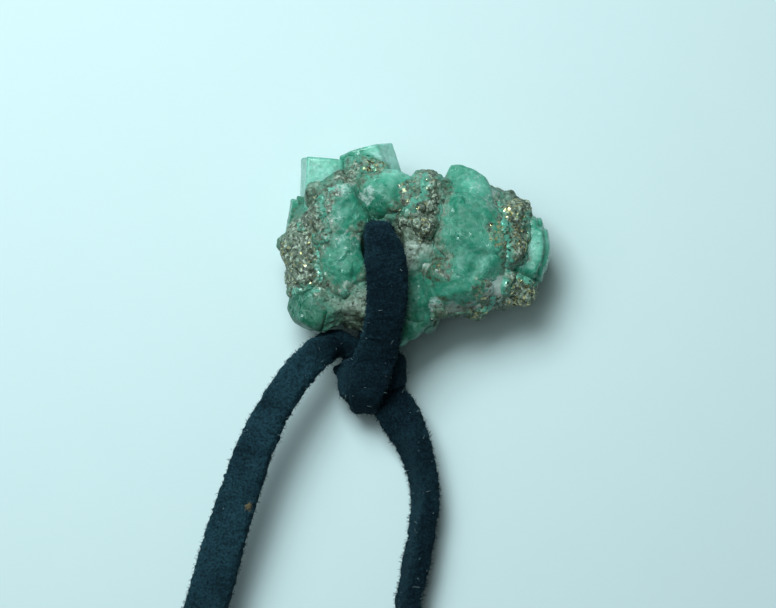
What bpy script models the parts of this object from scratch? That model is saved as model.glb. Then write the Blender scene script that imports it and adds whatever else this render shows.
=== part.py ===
"""Emerald in matrix: a drilled piece of calcite and pyrite with emerald crystals, on a suede lace.

Metres, +Z up.  The stone lies on its flat underside at z = 0, its length along X, its drilled face
up, and the lace runs off towards -Y.  The origin is the middle of the stone's underside.
"""

import math
import random

import bmesh
import bpy
from mathutils import Matrix, Vector
from mathutils.bvhtree import BVHTree

for old in list(bpy.data.objects):
    bpy.data.objects.remove(old)

MM = 0.001
SAME_FACET = math.radians(0.2)   # facets that turn less than this are one flat facet
WELD = 0.0005                    # doubled points closer than this are one point

# --- driving dimensions of the stone (millimetres) ---
SEAM = 0.12                 # gap between a crystal and the rock that it sits in
BORE_DIAMETER = 3.9         # drilled hole for the lace
BORE_TOP = (-2.4, 0.2, 8.9)
BORE_FOOT = (-2.8, -4.2, 1.5)
BORE_OVERRUN = 3.0          # the drill's run past each face
CENTRE = (-0.19, -0.19, 3.0)    # middle of the stone, which its loose grains stand away from
LOWEST_GRAIN = 4.2          # the flanks below this height are clean
LACE_SIDE = (-8.6, 0.4, 1.6)    # from x to x and up to y the lace has rubbed the rock clean
LUMP_DEPTH = (0.84, 0.99)   # how near a lump's own surface its corners are struck off
END_TRIM = 0.12             # share of a prism's width that an oblique end is struck back
LIP_HOLLOW = ((-7.6, -11.0, -3.6), (1.4, -3.1, 1.2))    # under the lip, where the lace runs out
LIP_HOLLOW_TILT = 14
BORE_SIDES = 20
ABOVE_SKIN = 30.0           # how far off the stone a ray towards its skin starts
GRAINS_ON_ROCK = 34         # small lumps broken out of the host rock
GRAIN_SEED = 17
GRAIN_FACETS = 9
GRAIN_CORE = ((-7.5, 7.0), (-2.5, 2.0), (3.0, 5.5))     # the grains point away from this box
GRAIN_WIDTH = (0.6, 1.0)    # shares of a grain's length
GRAIN_HEIGHT = (0.5, 0.8)
GRAIN_SIZE = (0.45, 0.95)
GRAIN_SINK = 0.35           # share of its size that a grain sits below the skin
PITS_IN_ROCK = 12           # small hollows where grains have fallen out
PIT_SEED = 8
PIT_SIZE = (0.35, 0.7)
CUBES_PER_CLUSTER = 12
CUBE_SIZE = (0.26, 0.5)     # half edge of a pyrite cube
CUBE_SINK = 0.5             # share of its half edge that a cube sits below the skin
CUBE_LEAN = 0.5             # how far its direction strays from straight out
CLUSTER_MIDDLE = (0.22, 0.78)   # share of a cluster's box that its cubes stand in

# --- driving dimensions of the lace (millimetres) ---
LACE_WIDTH = 3.2
LACE_THICKNESS = 1.6
POINTS_PER_STRETCH = 16
POINTS_IN_KNOT = 9
FINE_STEPS = 24             # steps between two points of a route before they are spaced evenly
COIL_CENTRE = (-8.0, -53.0)
COIL_INNER = 11.4
COIL_OUTER = 22.9
COIL_FOOT = 0.4
COIL_HEIGHT = 3.3
TIE_ANGLE = math.radians(-70)
TIE_WIDTH = 2.4
TIE_THICKNESS = 0.25
TIE_GAP = 0.12

FLAT = math.pi / 2          # turn of a lace that lies on its broad side; 0 stands it on edge


# --- materials ---

def material(name, colour, roughness, metallic=0.0):
    made = bpy.data.materials.new(name)
    made.use_nodes = True
    shader = made.node_tree.nodes["Principled BSDF"]
    shader.inputs["Base Color"].default_value = (*colour, 1.0)
    shader.inputs["Roughness"].default_value = roughness
    shader.inputs["Metallic"].default_value = metallic
    made.diffuse_color = (*colour, 1.0)
    return made


EMERALD = material("emerald", (0.06, 0.36, 0.22), 0.22)
CALCITE = material("calcite_rock", (0.30, 0.33, 0.27), 0.6)
PYRITE = material("pyrite", (0.38, 0.31, 0.13), 0.35, 1.0)
SUEDE = material("suede", (0.006, 0.014, 0.022), 0.95)
THREAD = material("thread", (0.03, 0.035, 0.04), 0.8)


# --- faceted shapes ---

def strike(bm, point, normal):
    """Break off what lies past a plane and close the break with one flat face."""
    everything = bm.verts[:] + bm.edges[:] + bm.faces[:]
    cut = bmesh.ops.bisect_plane(bm, geom=everything, dist=1e-9, plane_co=point,
                                 plane_no=normal, clear_outer=True)
    rim = [part for part in cut["geom_cut"] if isinstance(part, bmesh.types.BMEdge)]
    if rim:
        bmesh.ops.edgeloop_fill(bm, edges=rim)
    bmesh.ops.recalc_face_normals(bm, faces=bm.faces)


def any_direction(rng):
    height = rng.uniform(-1.0, 1.0)
    angle = rng.uniform(0.0, math.tau)
    flat = math.sqrt(1.0 - height * height)
    return Vector((flat * math.cos(angle), flat * math.sin(angle), height))


def turned(turn):
    return (Matrix.Rotation(math.radians(turn[2]), 4, "Z")
            @ Matrix.Rotation(math.radians(turn[1]), 4, "Y")
            @ Matrix.Rotation(math.radians(turn[0]), 4, "X"))


def lump(centre, half, turn=(0, 0, 0), facets=16, seed=0, grow=0.0):
    """A block of broken stone: its corners and edges are struck off by flat fractures."""
    rng = random.Random(seed)
    bm = bmesh.new()
    bmesh.ops.create_cube(bm, size=2.0)
    bmesh.ops.scale(bm, vec=Vector(half) + Vector((grow, grow, grow)), verts=bm.verts)
    for _ in range(facets):
        normal = any_direction(rng)
        reach = Vector([n * h for n, h in zip(normal, half)]).length
        depth = reach * rng.uniform(*LUMP_DEPTH) + grow
        strike(bm, normal * depth, normal)
    place = Matrix.Translation(Vector(centre)) @ turned(turn)
    bmesh.ops.transform(bm, matrix=place, verts=bm.verts)
    return bm


def prism(foot, tip, across, roll=0.0, end=None, grow=0.0):
    """A six-sided beryl prism from foot to tip, with a flat end square or oblique to its axis."""
    axis = Vector(tip) - Vector(foot)
    radius = (across / 2 + grow) / math.cos(math.pi / 6)
    bm = bmesh.new()
    bmesh.ops.create_cone(bm, cap_ends=True, segments=6, radius1=radius, radius2=radius,
                          depth=axis.length + 2 * grow)
    aim = axis.to_track_quat("Z", "Y").to_matrix().to_4x4()
    place = Matrix.Translation((Vector(foot) + Vector(tip)) / 2) @ aim
    spin = Matrix.Rotation(math.radians(roll), 4, "Z")
    bmesh.ops.transform(bm, matrix=place @ spin, verts=bm.verts)
    if end is not None:
        normal = Vector(end).normalized()
        strike(bm, Vector(tip) + normal * (grow - across * END_TRIM), normal)
    return bm


def cube(centre, half, direction, spin, grow=0.0):
    """One pyrite cube standing out of its cluster along a direction."""
    bm = bmesh.new()
    bmesh.ops.create_cube(bm, size=2 * (half + grow))
    aim = direction.to_track_quat("Z", "Y").to_matrix().to_4x4()
    place = Matrix.Translation(centre) @ aim @ Matrix.Rotation(spin, 4, "Z")
    bmesh.ops.transform(bm, matrix=place, verts=bm.verts)
    return bm


# --- solids from shapes ---

def as_object(name, bm):
    mesh = bpy.data.meshes.new(name)
    bm.to_mesh(mesh)
    bm.free()
    made = bpy.data.objects.new(name, mesh)
    bpy.context.scene.collection.objects.link(made)
    return made


def combined(body, others, operation):
    """The body joined with, or cut by, other objects, which are used up."""
    if not others:
        return body
    group = bpy.data.collections.new("operands")
    bpy.context.scene.collection.children.link(group)
    for other in others:
        group.objects.link(other)
        bpy.context.scene.collection.objects.unlink(other)
    boolean = body.modifiers.new("combine", "BOOLEAN")
    boolean.operation = operation
    boolean.solver = "EXACT"
    boolean.operand_type = "COLLECTION"
    boolean.collection = group
    bpy.context.view_layer.update()
    evaluated = body.evaluated_get(bpy.context.evaluated_depsgraph_get())
    mesh = bpy.data.meshes.new_from_object(evaluated)
    body.modifiers.clear()
    body.data = mesh
    for other in others:
        bpy.data.objects.remove(other)
    bpy.data.collections.remove(group)
    return body


def fused(name, shapes):
    objects = [as_object(name + "_shape", bm) for bm in shapes]
    body = combined(objects[0], objects[1:], "UNION")
    body.name = name
    return body


def islands(bm):
    left = set(bm.faces)
    found = []
    while left:
        start = left.pop()
        island = [start]
        queue = [start]
        while queue:
            face = queue.pop()
            for edge in face.edges:
                if not edge.is_manifold:
                    continue
                for other in edge.link_faces:
                    if other in left:
                        left.remove(other)
                        island.append(other)
                        queue.append(other)
        found.append(island)
    return found


def tidy(body):
    """Keep the one main body and weld its doubled points."""
    bm = bmesh.new()
    bm.from_mesh(body.data)
    bmesh.ops.remove_doubles(bm, verts=bm.verts, dist=WELD)
    bmesh.ops.dissolve_limit(bm, angle_limit=SAME_FACET, verts=bm.verts, edges=bm.edges)
    bmesh.ops.triangulate(bm, faces=bm.faces)
    pieces = sorted(islands(bm), key=len)
    for piece in pieces[:-1]:
        bmesh.ops.delete(bm, geom=piece, context="FACES")
    bmesh.ops.recalc_face_normals(bm, faces=bm.faces)
    bm.to_mesh(body.data)
    bm.free()


# --- the whole stone, before its minerals are told apart ---

def stone_lumps():
    """Rock and crystals broke together, so one skin of lumps runs over them all."""
    return [
        # the host rock
        lump((-5.3, 0.4, 4.0), (4.3, 5.3, 4.35), (3, -4, 4), 22, 1),
        lump((-0.4, 0.6, 4.0), (3.6, 5.2, 4.6), (-3, 2, -6), 22, 2),
        lump((4.6, 0.0, 3.9), (4.4, 4.9, 4.4), (2, 5, 8), 22, 3),
        lump((-8.3, -0.6, 4.3), (1.7, 3.3, 2.9), (0, -14, 4), 16, 4),
        lump((-9.6, 0.3, 4.3), (0.85, 0.7, 1.0), (10, 20, 30), 12, 5),
        lump((-6.6, -4.3, 4.6), (2.8, 2.1, 2.4), (14, -8, 10), 16, 6),
        lump((-3.9, -4.4, 5.1), (1.9, 2.1, 2.2), (18, 4, -4), 16, 7),
        lump((-1.0, -4.6, 4.6), (1.8, 2.4, 2.3), (20, 0, 6), 16, 8),
        lump((2.6, -3.3, 3.6), (2.8, 1.7, 2.9), (16, 4, 14), 16, 9),
        lump((5.9, -2.5, 3.8), (2.4, 1.4, 2.9), (10, 8, -8), 16, 10),
        lump((7.9, -2.2, 3.8), (1.5, 1.8, 2.4), (6, 16, -20), 14, 11),
        lump((7.3, 0.9, 4.1), (1.9, 2.6, 2.9), (-8, 14, -18), 16, 12),
        lump((5.9, 2.4, 4.3), (1.5, 1.3, 2.4), (-14, 6, -30), 14, 13),
        lump((0.9, 4.0, 4.5), (1.8, 1.4, 2.9), (-12, 0, 6), 14, 14),
        lump((-4.8, 4.2, 4.6), (2.9, 2.0, 2.9), (-14, -6, 8), 16, 15),
        lump((-7.6, 1.9, 4.2), (1.5, 2.0, 2.9), (-6, -16, 12), 14, 16),
        lump((-5.2, 6.0, 4.9), (1.3, 0.9, 1.1), (-10, 0, 4), 12, 17),
        lump((-6.75, 3.55, 6.9), (1.9, 0.95, 1.4), (0, 0, 36), 14, 18),
        lump((-4.75, 4.9, 6.3), (1.0, 1.3, 1.3), (-6, 0, 10), 12, 19),
        # the heart: its middle, crown, foot and shoulder
        lump((4.2, 0.7, 6.3), (2.8, 3.4, 2.7), (-4, 4, 8), 26, 31),
        lump((4.1, 3.2, 5.5), (2.1, 2.3, 2.2), (-16, 4, -20), 24, 32),
        lump((3.0, -3.0, 5.8), (2.6, 2.3, 2.3), (14, -4, 12), 22, 33),
        lump((5.2, -1.6, 6.2), (2.0, 2.2, 2.1), (6, 8, 0), 18, 34),
        # the other crystals' rises
        lump((-2.2, 3.6, 6.3), (2.0, 2.1, 2.3), (-14, 6, 10), 18, 23),
        lump((-5.4, 1.9, 6.6), (1.9, 2.4, 1.9), (8, -6, 12), 16, 21),
        lump((-5.6, -1.7, 6.7), (1.8, 2.6, 1.7), (-6, -8, -8), 16, 22),
        lump((-7.9, -4.8, 4.6), (1.8, 1.8, 2.0), (10, -12, 24), 26, 41),
        lump((-0.1, -4.3, 5.2), (1.5, 2.5, 2.0), (22, 4, -6), 18, 42),
        lump((-0.9, -6.1, 4.3), (1.0, 1.8, 1.7), (24, 0, -24), 16, 43),
        lump((-8.2, -1.3, 6.0), (1.7, 2.8, 1.5), (0, -22, 6), 14, 51),
        lump((0.6, 2.3, 6.6), (1.7, 2.6, 2.0), (-6, 4, 12), 16, 52),
        lump((7.3, 0.3, 6.0), (1.4, 2.8, 1.9), (-4, 14, 2), 16, 53),
        lump((7.9, -2.8, 4.3), (1.5, 1.3, 1.6), (10, 20, 20), 14, 54),
        lump((5.1, -3.9, 5.2), (1.1, 1.3, 1.5), (24, 6, 16), 12, 55),
    ]


# --- the emerald crystals (each function takes how far to grow, for the socket that holds it) ---

def emerald_prism_left(grow):
    """The clean prism at the back corner, split off flat along its outer side."""
    column = prism((-6.95, 1.6, 4.4), (-7.1, 7.35, 4.95), 5.1, 30, (0.1, 0.97, 0.16), grow)
    strike(column, (-9.3 - grow, 0.0, 0.0), (-1.0, 0.03, 0.12))
    return [column]


def emerald_prism_right(grow):
    return [prism((-2.2, 2.6, 5.2), (-3.9, 7.75, 5.75), 3.6, 22, (-0.24, 0.96, 0.1), grow)]


def emerald_prism_edge(grow):
    return [prism((-9.1, 0.0, 3.6), (-8.5, 3.5, 4.5), 1.9, 12, None, grow),
            prism((-8.5, 0.3, 4.0), (-8.0, 3.2, 5.0), 1.5, 30, None, grow)]


def emerald_end(grow):
    """A fan of thin prisms side by side, which shows as ribs round the end of the stone."""
    ribs = []
    for index, length in enumerate((1.9, 2.25, 2.4, 2.3, 1.9)):
        across = -1.8 + index * 0.85
        for level, reach in ((4.2, 0.0), (5.1, -0.1), (5.9, -0.55)):
            foot = (7.6, across * 0.8 - 0.1, level)
            tip = (8.05 + length + reach, across * 1.04 - 0.25, level + 0.05)
            ribs.append(prism(foot, tip, 1.25, 30, None, grow))
    return ribs


def emerald_face(grow):
    return [lump((-5.3, 2.3, 7.4), (1.45, 1.8, 3.2), (4, -3, 12), 12, 121, grow)]


def emerald_milky(grow):
    return [lump((-5.4, -1.7, 7.4), (1.7, 2.4, 3.0), (-3, -4, -8), 12, 122, grow)]


def emerald_brow(grow):
    return [lump((-2.3, 3.9, 7.2), (1.7, 1.9, 3.2), (-6, 3, 10), 12, 123, grow),
            lump((-0.9, 4.4, 6.6), (1.3, 1.4, 2.9), (-5, 5, -8), 10, 124, grow)]


def emerald_heart(grow):
    return [lump((4.1, 0.9, 7.4), (2.5, 3.3, 3.8), (-2, 2, 8), 14, 131, grow),
            lump((4.2, 4.3, 6.0), (2.2, 2.6, 3.0), (-8, 2, -20), 14, 132, grow),
            lump((2.9, -3.4, 6.9), (2.4, 2.0, 3.2), (4, -2, 12), 14, 133, grow),
            lump((5.0, -1.9, 7.2), (1.7, 2.2, 3.0), (3, 3, 0), 12, 134, grow)]


def emerald_toe(grow):
    return [lump((-8.1, -5.1, 4.7), (2.0, 1.8, 2.6), (6, -8, 24), 16, 141, grow)]


def emerald_keel(grow):
    return [lump((0.0, -4.6, 5.6), (1.45, 2.6, 2.8), (12, 2, -6), 12, 142, grow),
            lump((-0.9, -6.5, 4.2), (1.3, 2.0, 2.2), (14, 0, -24), 12, 143, grow)]


# --- the pyrite clusters ---

def pyrite_left(grow):
    return [lump((-8.6, -1.5, 6.6), (1.6, 2.9, 2.4), (0, -12, 6), 12, 151, grow),
            lump((-7.3, 1.5, 7.2), (0.95, 1.9, 2.4), (0, -6, -24), 10, 152, grow)]


def pyrite_middle(grow):
    return [lump((0.4, 2.5, 7.6), (1.45, 2.6, 2.8), (-3, 2, 12), 12, 153, grow)]


def pyrite_right(grow):
    return [lump((7.5, 0.3, 6.8), (1.3, 3.2, 2.6), (-2, 8, 0), 12, 154, grow)]


def pyrite_foot(grow):
    return [lump((8.3, -3.6, 4.8), (1.4, 1.2, 2.0), (5, 10, 20), 12, 155, grow)]


def pyrite_rim(grow):
    return [lump((5.1, -4.3, 5.8), (0.85, 1.3, 2.0), (12, 3, 16), 10, 156, grow)]


def pyrite_crest(grow):
    return [lump((-3.3, 5.75, 7.1), (1.45, 0.6, 0.95), (-14, 4, -16), 14, 157, grow),
            lump((-4.7, 6.0, 6.7), (0.8, 0.45, 0.7), (-10, 0, 10), 12, 158, grow)]


def box_of(shapes):
    points = [vert.co for bm in shapes for vert in bm.verts]
    low = Vector([min(point[axis] for point in points) for axis in range(3)])
    high = Vector([max(point[axis] for point in points) for axis in range(3)])
    for bm in shapes:
        bm.free()
    return low, high


def cubes(skin, zone, grow):
    """Small cubes that stand a little out of the skin all over the middle of a cluster."""
    low, high = box_of(zone(0.0))
    rng = random.Random(zone.__name__)
    shapes = []
    while len(shapes) < CUBES_PER_CLUSTER:
        across, along = [rng.uniform(*CLUSTER_MIDDLE) for _ in range(2)]
        spot = Vector((low.x + (high.x - low.x) * across,
                       low.y + (high.y - low.y) * along, high.z))
        out = (spot - Vector(CENTRE)).normalized()
        half = rng.uniform(*CUBE_SIZE)
        hit = skin.ray_cast(spot + out * ABOVE_SKIN, -out)[0]
        if hit is None:
            continue
        lean = out + any_direction(rng) * CUBE_LEAN
        shapes.append(cube(hit - out * half * CUBE_SINK, half, lean, rng.uniform(0, math.pi),
                           grow))
    return shapes


# --- the host rock ---

def skin_of(body):
    return BVHTree.FromObject(body, bpy.context.evaluated_depsgraph_get())


def scattered(skin, count, size_range, sink, seed):
    """Small broken lumps all over the skin, each sunk by a share of its size."""
    rng = random.Random(seed)
    shapes = []
    while len(shapes) < count:
        direction = any_direction(rng)
        aim = Vector([rng.uniform(*span) for span in GRAIN_CORE])
        hit = skin.ray_cast(aim + direction * ABOVE_SKIN, -direction)[0]
        size = rng.uniform(*size_range)
        half = (size, size * rng.uniform(*GRAIN_WIDTH), size * rng.uniform(*GRAIN_HEIGHT))
        turn = [rng.uniform(0, 180) for _ in range(3)]
        if hit is None or hit.z < LOWEST_GRAIN:
            continue
        if LACE_SIDE[0] < hit.x < LACE_SIDE[1] and hit.y < LACE_SIDE[2]:
            continue
        spot = hit - direction * size * sink
        shapes.append(lump(spot, half, turn, GRAIN_FACETS, rng.randrange(10000)))
    return [as_object("grain", bm) for bm in shapes]


def slab(low, high, turn=(0, 0, 0)):
    bm = bmesh.new()
    bmesh.ops.create_cube(bm, size=1.0)
    size = Vector(high) - Vector(low)
    bmesh.ops.scale(bm, vec=size, verts=bm.verts)
    middle = (Vector(low) + Vector(high)) / 2
    bmesh.ops.transform(bm, matrix=Matrix.Translation(middle) @ turned(turn), verts=bm.verts)
    return as_object("slab", bm)


def bore():
    """The drill's cylinder, from above the face to below the hollow under the lip."""
    top = Vector(BORE_TOP)
    foot = Vector(BORE_FOOT)
    run = (top - foot).normalized() * BORE_OVERRUN
    axis = top - foot + 2 * run
    bm = bmesh.new()
    bmesh.ops.create_cone(bm, cap_ends=True, segments=BORE_SIDES, radius1=BORE_DIAMETER / 2,
                          radius2=BORE_DIAMETER / 2, depth=axis.length)
    aim = axis.to_track_quat("Z", "Y").to_matrix().to_4x4()
    bmesh.ops.transform(bm, matrix=Matrix.Translation((top + foot) / 2) @ aim, verts=bm.verts)
    return as_object("bore", bm)


def lip_hollow():
    return slab(*LIP_HOLLOW, (LIP_HOLLOW_TILT, 0, 0))


STANDING = (pyrite_crest, emerald_prism_left, emerald_prism_right, emerald_prism_edge, emerald_end)
FLUSH = (emerald_heart, emerald_face, emerald_milky, emerald_brow, emerald_toe, emerald_keel)
CLUSTERS = (pyrite_left, pyrite_middle, pyrite_right, pyrite_foot, pyrite_rim)


def finish(body, stuff):
    """Bring a solid from millimetres to metres and give it its material."""
    tidy(body)
    body.data.transform(Matrix.Scale(MM, 4))
    body.data.materials.clear()
    body.data.materials.append(stuff)


def twin(body):
    """A copy of a solid, for a cut that uses it up."""
    made = bpy.data.objects.new("twin", body.data.copy())
    bpy.context.scene.collection.objects.link(made)
    return made


def socket(zone, skin):
    """The room that a crystal or a cluster takes, with its seam."""
    shapes = zone(SEAM)
    if zone in CLUSTERS:
        shapes += cubes(skin, zone, SEAM)
    return fused("socket", shapes)


def make_stone():
    whole = fused("whole", stone_lumps())
    skin = skin_of(whole)
    taken = []
    made = []
    for zone in STANDING + FLUSH + CLUSTERS:
        body = fused(zone.__name__, zone(0.0))
        if zone not in STANDING:
            body = combined(body, [twin(whole)], "INTERSECT")
        if zone in CLUSTERS:
            body = combined(body, [as_object("cube", bm) for bm in cubes(skin, zone, 0.0)], "UNION")
        body = combined(body, [socket(earlier, skin) for earlier in taken] + [bore()], "DIFFERENCE")
        taken.append(zone)
        made.append((body, PYRITE if zone in (pyrite_crest, *CLUSTERS) else EMERALD))
    grains = scattered(skin, GRAINS_ON_ROCK, GRAIN_SIZE, GRAIN_SINK, GRAIN_SEED)
    rock = combined(whole, grains, "UNION")
    rock.name = "matrix"
    pits = scattered(skin, PITS_IN_ROCK, PIT_SIZE, 0.0, PIT_SEED)
    ground = slab((-30, -30, -20), (30, 30, 0))
    cuts = [socket(zone, skin) for zone in taken] + pits + [bore(), lip_hollow(), ground]
    rock = combined(rock, cuts, "DIFFERENCE")
    made.append((rock, CALCITE))
    for body, stuff in made:
        finish(body, stuff)


# --- the lace ---

def smooth_route(points, count):
    """Evenly spaced points on a smooth curve (Catmull-Rom) through a route's own points."""
    ends = [2 * points[0] - points[1]] + points + [2 * points[-1] - points[-2]]
    fine = []
    for index in range(len(points) - 1):
        before, start, stop, after = ends[index:index + 4]
        for step in range(FINE_STEPS):
            t = step / FINE_STEPS
            fine.append(0.5 * (2 * start + (stop - before) * t
                               + (2 * before - 5 * start + 4 * stop - after) * t ** 2
                               + (3 * start - before - 3 * stop + after) * t ** 3))
    fine.append(points[-1].copy())
    runs = [0.0]
    for first, second in zip(fine, fine[1:]):
        runs.append(runs[-1] + (second - first).length)
    even = []
    index = 0
    for step in range(count):
        target = runs[-1] * step / (count - 1)
        while index < len(runs) - 2 and runs[index + 1] < target:
            index += 1
        span = runs[index + 1] - runs[index]
        even.append(fine[index].lerp(fine[index + 1], (target - runs[index]) / span))
    return even


def lace(name, route, count=POINTS_PER_STRETCH, thickness=LACE_THICKNESS):
    """A stretch of flat lace; each route point is x, y, z and the turn of the lace about its run."""
    points = smooth_route([Vector(row[:3]) for row in route], count)
    turns = smooth_route([Vector((row[3], 0, index)) for index, row in enumerate(route)], count)
    curve = bpy.data.curves.new(name, "CURVE")
    curve.dimensions = "3D"
    curve.twist_mode = "Z_UP"
    curve.fill_mode = "FULL"
    curve.extrude = (LACE_WIDTH - thickness) / 2 * MM
    curve.bevel_depth = thickness / 2 * MM
    curve.bevel_resolution = 2
    curve.use_fill_caps = True
    spline = curve.splines.new("POLY")
    spline.points.add(count - 1)
    for dot, point, turn in zip(spline.points, points, turns):
        dot.co = (*(point * MM), 1.0)
        dot.tilt = turn.x
    curve.materials.append(SUEDE)
    made = bpy.data.objects.new(name, curve)
    bpy.context.scene.collection.objects.link(made)
    return made


FRONT_ROUTE = [
    (-2.59, -1.53, 6.0, FLAT),
    (-2.44, -0.28, 8.1, FLAT),
    (-2.4, 0.18, 9.0, FLAT),
    (-2.38, 0.25, 9.8, FLAT),
    (-2.35, -0.35, 10.45, FLAT),
    (-2.3, -1.4, 10.45, FLAT),
    (-2.25, -3.0, 9.95, FLAT),
    (-2.4, -4.9, 8.9, FLAT),
    (-2.6, -6.8, 7.6, FLAT),
]
BACK_ROUTE = [
    (-2.61, -2.0, 5.1, FLAT),
    (-2.74, -3.5, 2.7, FLAT),
    (-2.85, -4.8, 1.35, FLAT),
    (-2.8, -6.15, 1.1, FLAT),
]
KNOT_FRONT_ROUTE = [
    (-2.72, -7.25, 7.15, FLAT),
    (-3.05, -8.8, 5.8, FLAT),
    (-3.5, -10.4, 5.15, FLAT),
    (-3.85, -11.5, 4.3, FLAT),
    (-4.05, -12.1, 3.3, FLAT),
]
KNOT_UNDER_ROUTE = [
    (-4.2, -12.15, 2.5, FLAT),
    (-4.4, -11.3, 1.4, FLAT),
    (-4.6, -10.0, 1.0, FLAT),
]
KNOT_WRAP_ROUTE = [
    (-5.65, -10.35, 2.9, FLAT),
    (-4.6, -10.05, 3.1, FLAT),
    (-2.6, -9.6, 3.1, FLAT),
    (-0.85, -9.35, 2.8, FLAT),
]
KNOT_LEFT_ROUTE = [
    (-3.2, -9.1, 2.1, FLAT - 0.7),
    (-4.1, -8.5, 2.2, FLAT - 1.0),
    (-4.7, -8.0, 2.4, FLAT - 1.25),
]
KNOT_BACK_ROUTE = [
    (-2.75, -6.8, 1.2, FLAT),
    (-2.5, -8.3, 1.6, FLAT),
    (-2.15, -9.9, 1.9, FLAT),
    (-1.9, -11.3, 2.1, FLAT),
    (-1.45, -12.4, 2.2, FLAT + 0.1),
    (-1.1, -13.0, 2.2, FLAT + 0.25),
]
WRAP_THICKNESS = 2.9        # two layers of the lace, pressed together
LEFT_ROUTE = [
    (-5.2, -7.62, 2.75, FLAT - 1.3),
    (-5.75, -7.5, 3.15, FLAT - 1.2),
    (-6.4, -7.6, 3.6, FLAT - 1.0),
    (-7.6, -8.5, 4.6, FLAT - 0.5),
    (-9.2, -10.3, 5.2, FLAT - 0.2),
    (-10.7, -12.7, 5.3, FLAT),
    (-12.1, -15.6, 5.2, FLAT),
    (-13.1, -18.4, 5.0, FLAT),
    (-14.2, -21.8, 4.7, FLAT),
    (-15.1, -24.9, 4.3, FLAT),
    (-15.9, -27.8, 3.8, FLAT),
    (-16.8, -29.8, 3.2, FLAT),
    (-17.7, -31.0, 2.7, FLAT - 0.5),
]
RIGHT_ROUTE = [
    (-0.95, -13.28, 2.2, FLAT + 0.35),
    (-0.6, -13.95, 2.1, FLAT + 0.55),
    (0.0, -15.3, 1.85, FLAT + 0.9),
    (0.6, -17.3, 1.75, FLAT + 1.1),
    (0.8, -19.4, 1.7, FLAT + 1.15),
    (0.55, -21.8, 1.7, FLAT + 1.2),
    (0.1, -24.4, 1.7, FLAT + 1.2),
    (-0.5, -27.0, 1.7, FLAT + 1.25),
    (-1.5, -29.2, 1.8, FLAT + 1.3),
]


def lace_mesh(route, thickness=LACE_THICKNESS):
    """A short stretch of lace as a closed mesh, for joining with others."""
    curve = lace("strand", route, POINTS_IN_KNOT, thickness)
    bpy.context.view_layer.update()
    evaluated = curve.evaluated_get(bpy.context.evaluated_depsgraph_get())
    bm = bmesh.new()
    bm.from_mesh(bpy.data.meshes.new_from_object(evaluated))
    bpy.data.objects.remove(curve)
    bmesh.ops.remove_doubles(bm, verts=bm.verts, dist=1e-6)
    bmesh.ops.scale(bm, vec=(1 / MM, 1 / MM, 1 / MM), verts=bm.verts)
    bmesh.ops.recalc_face_normals(bm, faces=bm.faces)
    return bm


def make_lace():
    lace("lace_front", FRONT_ROUTE, 22)
    lace("lace_back", BACK_ROUTE, 12)
    lace("lace_leg_left", LEFT_ROUTE)
    lace("lace_leg_right", RIGHT_ROUTE)
    strands = [lace_mesh(route) for route in (KNOT_FRONT_ROUTE, KNOT_UNDER_ROUTE, KNOT_LEFT_ROUTE,
                                              KNOT_BACK_ROUTE)]
    knot = fused("lace_knot", strands + [lace_mesh(KNOT_WRAP_ROUTE, WRAP_THICKNESS)])
    finish(knot, SUEDE)


def ring(name, inner, outer, foot, height, stuff, segments=40):
    """A flat ring turned about the coil's axis."""
    bm = bmesh.new()
    corners = [(inner, foot), (outer, foot), (outer, foot + height), (inner, foot + height)]
    verts = [bm.verts.new((radius, 0, level)) for radius, level in corners]
    edges = [bm.edges.new((verts[index], verts[index - 1])) for index in range(4)]
    bmesh.ops.spin(bm, geom=verts + edges, cent=(0, 0, 0), axis=(0, 0, 1), steps=segments,
                   angle=math.tau, use_merge=True)
    bmesh.ops.remove_doubles(bm, verts=bm.verts, dist=0.001)
    bmesh.ops.recalc_face_normals(bm, faces=bm.faces)
    bmesh.ops.translate(bm, vec=(*COIL_CENTRE, 0), verts=bm.verts)
    body = as_object(name, bm)
    finish(body, stuff)


def make_tie():
    """A band once round the coil's turns."""
    outer = COIL_OUTER + TIE_GAP
    inner = COIL_INNER - TIE_GAP
    low = COIL_FOOT - TIE_GAP
    high = COIL_FOOT + COIL_HEIGHT + TIE_GAP
    wall = TIE_THICKNESS
    shell = slab((inner - wall, -TIE_WIDTH / 2, low - wall), (outer + wall, TIE_WIDTH / 2,
                                                             high + wall))
    core = slab((inner, -TIE_WIDTH, low), (outer, TIE_WIDTH, high))
    band = combined(shell, [core], "DIFFERENCE")
    band.name = "coil_tie"
    place = Matrix.Translation((*COIL_CENTRE, 0)) @ Matrix.Rotation(TIE_ANGLE, 4, "Z")
    band.data.transform(place)
    finish(band, THREAD)


def main():
    make_stone()
    make_lace()
    ring("lace_coil", COIL_INNER, COIL_OUTER, COIL_FOOT, COIL_HEIGHT, SUEDE)
    make_tie()


main()
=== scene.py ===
"""Looks of a drilled piece of emerald in matrix on a flat suede lace.

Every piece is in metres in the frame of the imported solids.  Sizes in the tables are millimetres.
"""

import math
import random

import bmesh
import bpy
from mathutils import Matrix, Vector, noise
from mathutils.bvhtree import BVHTree


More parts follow.
